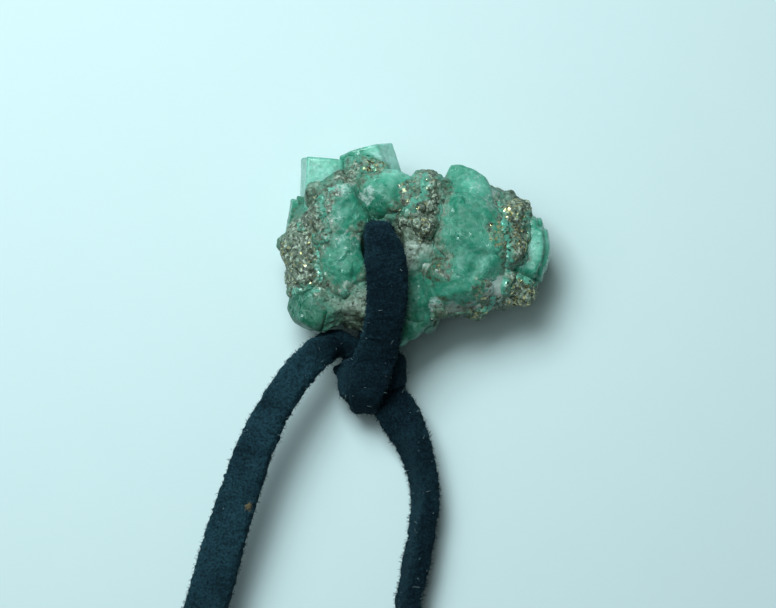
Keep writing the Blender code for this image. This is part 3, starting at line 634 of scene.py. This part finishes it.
def stations(route, spacing):
    """Places, tangents, broad sides and widths every spacing along a route."""
    places = [Vector(row[:3]) for row in route]
    rows = []
    last = None
    for index, place in enumerate(places):
        ahead = places[min(index + 1, len(places) - 1)]
        behind = places[max(index - 1, 0)]
        side = broad_side(route[index][3], (ahead - behind).normalized())
        if last and side.dot(last) < 0:
            side = -side
        last = side
        rows.append(Vector((*place, *side, route[index][4])))
    even = smooth_curve(rows, spacing)
    found = []
    for index, row in enumerate(even):
        ahead = even[min(index + 1, len(even) - 1)]
        behind = even[max(index - 1, 0)]
        tangent = (Vector(ahead[:3]) - Vector(behind[:3])).normalized()
        side = Vector(row[3:6])
        side = (side - tangent * side.dot(tangent)).normalized()
        found.append((Vector(row[:3]), tangent, side, row[6]))
    return found


def coil_turns(start_angle, start_radius, length):
    """The lace on its edge, wound flat from the outside in."""
    rows = []
    angle = start_angle
    run = 0.0
    while run < length:
        radius = start_radius - COIL_PITCH * (angle - start_angle) / math.tau
        rows.append((COIL_CENTRE[0] + radius * math.cos(angle),
                     COIL_CENTRE[1] + radius * math.sin(angle), COIL_LEVEL, ALONG_Z,
                     LACE_WIDTH))
        step = math.tau / TURN_STEPS
        run += radius * step
        angle += step
    return rows


def section_ring(bm):
    """The lace's section, a flat strip with round edges, as a ring of edges at the origin."""
    made = bmesh.ops.create_circle(bm, segments=SECTION_POINTS, radius=1.0)
    for vertex in made["verts"]:
        wide, thick = vertex.co.x, vertex.co.y
        vertex.co.x = math.copysign(abs(wide) ** SIDE_FULLNESS, wide) * LACE_WIDTH / 2 * MM
        vertex.co.y = math.copysign(abs(thick) ** FACE_FULLNESS, thick) * LACE_THICKNESS / 2 * MM
    return list(bm.edges)


def stood(place, tangent, side, width):
    """The matrix that stands a section across the lace at a station, squeezed to its width."""
    turned = Matrix((side, tangent.cross(side), tangent)).transposed()
    squeezed = Matrix.Diagonal((width / LACE_WIDTH, 1.0, 1.0, 1.0))
    return Matrix.Translation(place * MM) @ turned.to_4x4() @ squeezed


def put_in_order(bm):
    """Extruding leaves points and faces in another order each run, so they are sorted by place."""
    bm.verts.sort(key=lambda vertex: vertex.co.dot(SORTED_ALONG))
    bm.faces.sort(key=lambda face: face.calc_center_median().dot(SORTED_ALONG))


def make_lace(name, route, start_angle, start_radius):
    places = [Vector(row[:3]) for row in route]
    shown_length = sum((b - a).length for a, b in zip(places, places[1:]))
    lead = JOIN_ANGLE * start_radius
    wound = coil_turns(start_angle, start_radius, LACE_LENGTH_M / MM - shown_length - lead)
    line = stations(route + wound, NEAR_SPACING)
    bm = bmesh.new()
    ring = section_ring(bm)
    bm.transform(stood(*line[0]))
    last = line[0]
    for station in line[1:]:
        if (station[0] - last[0]).length < COIL_SPACING and station[0].y < NEAR_ENDS:
            continue
        made = bmesh.ops.extrude_edge_only(bm, edges=ring)["geom"]
        ring = [part for part in made if isinstance(part, bmesh.types.BMEdge)]
        moved = [part for part in made if isinstance(part, bmesh.types.BMVert)]
        step = stood(*station) @ stood(*last).inverted()
        bmesh.ops.transform(bm, matrix=step, verts=moved)
        last = station
    bmesh.ops.holes_fill(bm, edges=bm.edges)
    bmesh.ops.recalc_face_normals(bm, faces=bm.faces)
    put_in_order(bm)
    mesh = bpy.data.meshes.new(name)
    bm.to_mesh(mesh)
    bm.free()
    lace = shown(name, mesh)
    roughen(lace, SUEDE_LAYERS, SUEDE_SWELL)
    mesh.shade_smooth()
    return lace, [station[0] * MM for station in line]


def fibre_mesh():
    """One short tapered fibre along +Z, a millimetre long and thick, to be scaled."""
    bm = bmesh.new()
    bmesh.ops.create_cone(bm, cap_ends=True, segments=3, radius1=0.5 * MM, radius2=0.15 * MM,
                          depth=1.0 * MM, matrix=Matrix.Translation((0, 0, 0.5 * MM)))
    mesh = bpy.data.meshes.new("fibre")
    bm.to_mesh(mesh)
    bm.free()
    return mesh


def nap(name, lace, seed, count, length_mm, width_mm, spread, reach):
    """Loose fibres standing off the part of the lace's surface that reach picks."""
    rng = random.Random(seed)
    fibre = fibre_mesh()
    faces = [face for face in lace.data.polygons if reach(face.center)]
    bm = bmesh.new()
    for _ in range(count):
        face = rng.choice(faces)
        away = Vector([rng.uniform(-spread, spread) for _ in range(3)])
        heading = (face.normal + away).normalized()
        length = rng.uniform(*length_mm)
        jitter = Vector([rng.uniform(-FIBRE_JITTER, FIBRE_JITTER) for _ in range(3)])
        foot = face.center + jitter * MM - face.normal * FIBRE_ROOT * MM
        if (foot + heading * length * MM).z < FIBRE_CLEARANCE * MM:
            continue
        place = (Matrix.Translation(foot) @ heading.to_track_quat("Z", "Y").to_matrix().to_4x4()
                 @ Matrix.Diagonal((width_mm, width_mm, length, 1)))
        fibre.transform(place)
        bm.from_mesh(fibre)
        fibre.transform(place.inverted())
    mesh = bpy.data.meshes.new(name)
    bm.to_mesh(mesh)
    bm.free()
    return shown(name, mesh)


def lit_left_side(point):
    """Painted light: the bloom is lighter towards the lace's left, on the leg that lies uppermost,
    clear of the stone.
    """
    return max(0.0, min(1.0, (LIT_SIDE_EDGE - point.x / MM) / LIT_SIDE_RUN))


def scuffed(point):
    return max(0.0, 1.0 - (point / MM - SCUFF).length / SCUFF_RADIUS)


def near_stone(point):
    """The part of the lace that shows by the stone, but not inside the hole."""
    in_hole = point.y > HOLE_EDGE * MM and point.z < HOLE_LIP * MM
    return point.y > NEAR_ENDS * MM and not in_hole


def on_coil(point):
    return point.y < NEAR_ENDS * MM


def make_half(suede, lint, name, route, start_angle, start_radius, seed, nodes):
    """One half of the lace from the hole to its cut end, with its nap and lint."""
    lace, path = make_lace(name, route, start_angle, start_radius)
    # painted light, lighter towards the lace's left side
    painted(lace, "lit_left_side", lit_left_side)
    painted(lace, "scuff", scuffed)
    placed(lace, suede, "suede", *nodes)
    fuzz = nap(name + "_nap", lace, seed, count=9000, length_mm=(0.10, 0.30),
               width_mm=0.045, spread=0.8, reach=near_stone)
    placed(fuzz, suede, "suede")
    down = nap(name + "_coil_nap", lace, seed + 5, count=3000, length_mm=(0.15, 0.35),
               width_mm=0.05, spread=0.8, reach=on_coil)
    placed(down, suede, "suede")
    specks = nap(name + "_lint", lace, seed + 9, count=240, length_mm=(0.06, 0.45),
                 width_mm=0.035, spread=1.2, reach=near_stone)
    placed(specks, lint, "thread")


def make_laces(suede, lint):
    make_half(suede, lint, "lace_front_half", FRONT_ROUTE, start_angle=math.radians(134),
              start_radius=COIL_OUTER, seed=41,
              nodes=("lace_front", "lace_knot", "lace_leg_left"))
    make_half(suede, lint, "lace_back_half", BACK_ROUTE, start_angle=math.radians(96),
              start_radius=COIL_OUTER - COIL_LAG, seed=42,
              nodes=("lace_back", "lace_leg_right", "lace_coil"))


# --- the stone ---

PLAN_LEAN = math.radians(10)        # the plan of the stone's upper face leans this far to -Y
PLAN_LEVEL = 5                      # about a line at this height
CORE_MIDDLE = (0.0, 0.0, 3.5)       # the core that the stone's grains point away from
CORE_HALF = (6.5, 2.5, 0.5)

# patches by attribute: place on the plan of the upper face, radius (mm) and strength
PATCHES = {
    "gold": ((6.8, 0.4, 1.3, 1.0), (7.7, 2.9, 1.0, 0.8), (8.9, 0.4, 1.0, 0.8),
             (8.1, -3.7, 1.2, 1.0), (4.9, -3.2, 0.9, 0.7), (2.1, -2.0, 0.7, 0.3),
             (4.7, -4.8, 0.9, 1.0), (-2.9, 6.1, 1.2, 1.0), (-8.2, -1.3, 2.4, 0.22),
             (0.2, 3.1, 2.0, 0.15)),
    "ore": ((-8.0, 1.2, 1.1, 0.65), (-7.2, 2.7, 1.0, 0.60), (-6.3, 4.1, 0.9, 0.50),
            (-5.2, 5.4, 0.9, 0.6), (-9.6, -0.8, 1.2, 0.6), (0.5, 2.8, 2.1, 0.52),
            (7.6, 1.6, 2.2, 0.5), (8.2, -3.2, 1.6, 0.5), (3.0, -5.6, 1.6, 0.35),
            (5.0, -3.5, 0.9, 0.50), (2.1, -2.1, 0.7, 0.48), (-4.4, 6.6, 1.2, 0.6)),
    # iron stain, but the wide patch at (3.2, -5.6) is painted shade on the dark lower flank
    "stain_and_shade": ((2.0, -1.9, 1.1, 0.75), (1.2, -3.5, 0.9, 0.5), (-6.5, 3.9, 1.1, 0.6),
              (-4.8, -5.0, 1.7, 0.55), (-9.0, 0.4, 1.1, 0.5), (3.2, -5.6, 2.0, 0.7),
              (-6.9, -4.2, 1.0, 0.6), (0.0, 3.8, 1.6, 0.5)),
    # pale calcite, but the four at (-5.6, 4.6), (-3.7, 3.7), (-6.3, 2.3) and (-5.3, 0.1) are painted
    # glints
    "pale": ((6.6, -3.3, 1.3, 0.85), (1.5, -4.7, 0.7, 0.65), (3.0, -4.8, 0.7, 0.65),
             (4.5, -4.8, 0.7, 0.6), (-5.6, 4.6, 0.9, 0.6), (-3.7, 3.7, 0.8, 0.6),
             (-6.3, 2.3, 0.8, 0.48), (-5.3, 0.1, 1.0, 0.42), (0.3, -0.8, 1.4, 0.6),
             (4.5, 4.6, 1.0, 0.45), (-4.6, -4.0, 1.4, 0.5), (6.0, 3.4, 1.0, 0.5)),
    "clean": ((-3.1, 2.1, 0.9, 0.8), (-5.4, 2.7, 0.8, 0.5), (-5.0, -0.9, 1.0, 0.5)),
}
PATCH_GRAIN = 1.1                   # mm, of the raggedness of a patch's border
PATCH_RAGGED = 0.35                 # and its strength, in the patch's radii
PATCH_FRACTAL = (0.9, 2.0, 4)
PATCH_END = 1.3                     # a patch ends here, in its own radii
PATCH_FADE = 0.5                    # and fades over this much of a radius


def on_plan(point):
    """Where a point lies on the plan of the upper face, in mm."""
    along = point.y / MM * math.cos(PLAN_LEAN) + (point.z / MM - PLAN_LEVEL) * math.sin(PLAN_LEAN)
    return point.x / MM, along


def patch_at(attribute, point):
    """How strongly the patches of an attribute cover a point, with ragged borders."""
    u, v = on_plan(point)
    ragged = noise.fractal(point / (PATCH_GRAIN * MM), *PATCH_FRACTAL) * PATCH_RAGGED
    found = 0.0
    for x, y, radius, strength in PATCHES[attribute]:
        away = math.hypot(u - x, v - y) / radius + ragged
        found = max(found, strength * max(0.0, min(1.0, (PATCH_END - away) / PATCH_FADE)))
    return found


def paint_patches(piece, *attributes):
    for attribute in attributes:
        painted(piece, attribute, lambda point: patch_at(attribute, point))


# deeper or paler green: place on the plan, radius (mm) and how much it adds to the depth
DEPTHS = ((-5.3, 2.8, 1.4, 0.12), (-2.3, 3.8, 2.0, 0.14), (-5.3, -1.3, 1.8, 0.12),
          (-8.2, -5.2, 2.2, 0.40), (3.9, 2.1, 1.9, 0.16), (4.3, 5.2, 1.4, -0.20),
          (5.0, 4.2, 0.8, -0.25), (3.5, -2.7, 2.2, 0.10), (6.2, -0.4, 1.2, -0.10),
          (-0.2, -5.6, 2.6, 0.16), (-7.4, 5.2, 2.4, -0.42), (-1.7, 6.9, 2.0, -0.62),
          (9.7, 0.0, 1.8, -0.36), (-8.9, 2.0, 1.2, 0.25), (-3.1, 2.1, 0.8, 0.35))
MIDDLE_DEPTH = 0.48                 # how deep the green is where no place above changes it


def depth_at(point):
    """How deep the green is at a point: a smooth field over every crystal of the stone."""
    u, v = on_plan(point)
    found = MIDDLE_DEPTH
    for x, y, radius, amount in DEPTHS:
        found += amount * math.exp(-((u - x) ** 2 + (v - y) ** 2) / radius ** 2)
    return found


def skin_tree(*kinds):
    """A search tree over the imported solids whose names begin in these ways."""
    bm = bmesh.new()
    for name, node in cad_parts.items():
        if name.startswith(kinds):
            bm.from_mesh(node.data)
    tree = BVHTree.FromBMesh(bm)
    bm.free()
    return tree


def closeness(tree, point, reach_mm, strength=1.0):
    """From the strength on the tree's skin to nothing at the reach."""
    distance = tree.find_nearest(point, reach_mm * MM)[3]
    return 0.0 if distance is None else strength * (1.0 - distance / (reach_mm * MM))


def outward(point):
    """Away from the stone's core: the same for rock and crystal on either side of a border."""
    near = Vector([middle * MM + max(-half * MM, min(half * MM, value - middle * MM))
                   for value, middle, half in zip(point, CORE_MIDDLE, CORE_HALF)])
    return (point - near).normalized()


RELIEF_SEED = 5                     # one cast of the breaks for every piece of the stone
ROCK_VOXEL, CRYSTAL_VOXEL, ORE_VOXEL, PRISM_VOXEL = 0.12, 0.10, 0.09, 0.08      # remeshing, mm
ROCK_SWELL, CRYSTAL_SWELL, PRISM_SWELL = 0.26, 0.28, 0.06       # closes the seams between pieces
ROCK_SHARP, CRYSTAL_SHARP, PRISM_SHARP = (math.radians(angle) for angle in (38, 34, 30))
PRISM_LAYERS = (("rough", 2.4, 0.035), ("rough", 0.4, 0.010))
BROKEN = (("facet", 2.0, 0.20),)    # the large breaks, shared by rock, ore and crystal
CRYSTAL_LAYERS = BROKEN + (("facet", 0.7, 0.05), ("rough", 0.6, 0.04))
HEART_LAYERS = (("facet", 2.6, 0.08), ("rough", 0.9, 0.03))
ROCK_LAYERS = BROKEN + (("facet", 0.6, 0.14), ("rough", 0.5, 0.08))
ORE_LAYERS = BROKEN + (("facet", 0.36, 0.13), ("facet", 0.8, 0.12))

# how far, in mm, and how strongly one stone shows over the border of the next
ROCK_CREEPS = (1.7, 0.9)            # rock over a crystal that is broken off level with it
ROCK_CLINGS = (0.6, 0.7)            # rock to the foot of a clean crystal
GREEN_IN_ORE = (1.6, 0.85)
GREEN_IN_ROCK = (1.8, 0.85)
ORE_IN_ROCK = (1.2, 0.75)

# crystals broken off level with the rock: relief, smoothing steps, whether rock creeps over them
FLUSH = {
    "emerald_face": (CRYSTAL_LAYERS, 2, True), "emerald_milky": (CRYSTAL_LAYERS, 2, True),
    "emerald_brow": (CRYSTAL_LAYERS, 2, True), "emerald_heart": (HEART_LAYERS, 3, True),
    "emerald_toe": (HEART_LAYERS, 3, False), "emerald_keel": (CRYSTAL_LAYERS, 3, False),
}

MEAN_VOXEL = 0.4                    # mm, the remeshing of the mean surface
MEAN_SMOOTHING = 16                 # and its smoothing steps
LEVEL_REACH = 0.9                   # how far from the mean surface the levelling still grows
HOLLOW_FILLED = 0.65                # share of a hollow that is filled up to the mean surface
HUMP_SUNK = 0.35                    # share of a hump that is worn down to it
LACE_ROOM = 1.5                     # the levelling fades out this near the lace
DRAWN_IN = 0.20                     # takes back about what the swelling of the pieces adds


def make_level():
    """A function for how far a point has to move outward to level the stone's lumps."""
    bm = bmesh.new()
    for name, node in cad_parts.items():
        if name.startswith(("matrix", "pyrite")) or name in FLUSH:
            bm.from_mesh(node.data)
    mesh = bpy.data.meshes.new("mean_surface")
    bm.to_mesh(mesh)
    bm.free()
    whole = shown("mean_surface", mesh)
    remeshed(whole, MEAN_VOXEL, MEAN_SMOOTHING)
    bm = bmesh.new()
    bm.from_mesh(whole.data)
    mean = BVHTree.FromBMesh(bm)
    bm.free()
    bpy.data.objects.remove(whole)
    lace = skin_tree("lace")

    def level(point):
        place, normal, _, distance = mean.find_nearest(point)
        amount = min(distance / MM, LEVEL_REACH)
        amount *= HOLLOW_FILLED if (place - point).dot(normal) > 0 else -HUMP_SUNK
        return amount * (1.0 - closeness(lace, point, LACE_ROOM))

    return level


def break_surface(piece, layers, swell, level):
    """The relief of the whole broken stone, so that it runs on over every border."""
    mesh = piece.data
    normals = [vertex.normal.copy() for vertex in mesh.vertices]
    for vertex, normal in zip(mesh.vertices, normals):
        rise = surface_rise(vertex.co, layers, RELIEF_SEED) + level(vertex.co) - DRAWN_IN
        vertex.co += (outward(vertex.co) * rise + normal * swell) * MM
        vertex.co.z = max(vertex.co.z, 0.0)
    mesh.update()


def dress_flush(node, material, voxel, smoothing, layers, slot, rocky, green, level):
    """A crystal broken off level with the rock round it, with rock clinging to its borders."""
    piece = copy_of(node, node + "_grown")
    remeshed(piece, voxel, smoothing)
    painted(piece, "rocky", rocky)
    painted(piece, "green", green)
    paint_patches(piece, "stain_and_shade", "pale", "gold", "ore")
    painted(piece, "depth", depth_at)
    break_surface(piece, layers, CRYSTAL_SWELL, level)
    shaded(piece, CRYSTAL_SHARP)
    placed(piece, material, slot, node)


def dress_standing(node, material, smoothing, rocky):
    """A clean prism keeps its flat faces: only its edges are worn and its faces a little wavy."""
    piece = copy_of(node, node + "_grown")
    remeshed(piece, PRISM_VOXEL, smoothing)
    painted(piece, "rocky", rocky)
    paint_patches(piece, "stain_and_shade")
    painted(piece, "depth", depth_at)
    roughen(piece, PRISM_LAYERS, PRISM_SWELL)
    shaded(piece, PRISM_SHARP)
    placed(piece, material, "emerald", node)


def dress_rock(material, level):
    piece = copy_of("matrix", "calcite_rock")
    remeshed(piece, ROCK_VOXEL, 1)
    crystal = skin_tree("emerald")
    ore = skin_tree("pyrite")
    painted(piece, "green", lambda point: closeness(crystal, point, *GREEN_IN_ROCK))
    painted(piece, "ore", lambda point: max(closeness(ore, point, *ORE_IN_ROCK),
                                            patch_at("ore", point)))
    paint_patches(piece, "stain_and_shade", "pale", "gold")
    break_surface(piece, ROCK_LAYERS, ROCK_SWELL, level)
    shaded(piece, ROCK_SHARP)
    placed(piece, material, "rock", "matrix")


def make_stone():
    clean = emerald_material("emerald_clean_prism", milk=0.25, transmission=0.18,
                             roughness=0.22)
    massive = emerald_material("emerald_massive_veiled", milk=0.45, transmission=0.12,
                               roughness=0.50)
    ore = pyrite_material()
    rock_tree = skin_tree("matrix", "pyrite")
    crystal_tree = skin_tree("emerald")

    def creeping(point):
        rock = max(closeness(rock_tree, point, *ROCK_CREEPS), patch_at("ore", point))
        return rock - patch_at("clean", point)

    def sparing(point):
        return closeness(rock_tree, point, *ROCK_CLINGS)

    def tinting(point):
        return closeness(crystal_tree, point, *GREEN_IN_ORE)

    for node, smoothing in (("emerald_prism_left", 2), ("emerald_prism_right", 2),
                            ("emerald_prism_edge", 2), ("emerald_end", 30)):
        dress_standing(node, clean, smoothing, sparing)
    level = make_level()
    for node, (layers, smoothing, rocky) in FLUSH.items():
        dress_flush(node, massive, CRYSTAL_VOXEL, smoothing, layers, "emerald",
                    creeping if rocky else sparing, tinting, level)
    for node in ("pyrite_left", "pyrite_middle", "pyrite_right", "pyrite_foot", "pyrite_rim",
                 "pyrite_crest"):
        dress_flush(node, ore, ORE_VOXEL, 1, ORE_LAYERS, "pyrite", creeping, tinting, level)
    dress_rock(rock_material(), level)


def make_tie(thread):
    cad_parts["coil_tie"].data.materials.clear()
    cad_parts["coil_tie"].data.materials.append(thread)


def make_floor():
    """A plain pale sheet, wide enough to fill every view."""
    bm = bmesh.new()
    bmesh.ops.create_grid(bm, x_segments=1, y_segments=1, size=FLOOR_HALF)
    mesh = bpy.data.meshes.new("floor")
    bm.to_mesh(mesh)
    bm.free()
    floor = shown("floor", mesh)
    mesh.materials.append(plain_material("matt_paper", ("#E3F0F2", "#E6F2F4"), roughness=0.9,
                                         grain_mm=5.0))


make_camera()
make_light()
make_laces(suede_material(),
           plain_material("lint", ("#8FA9AF", "#CFE0E0"), roughness=0.9, grain_mm=1.0))
make_tie(plain_material("waxed_thread", ("#0B1218", "#16212A"), roughness=0.7, grain_mm=0.4))
make_stone()
make_floor()
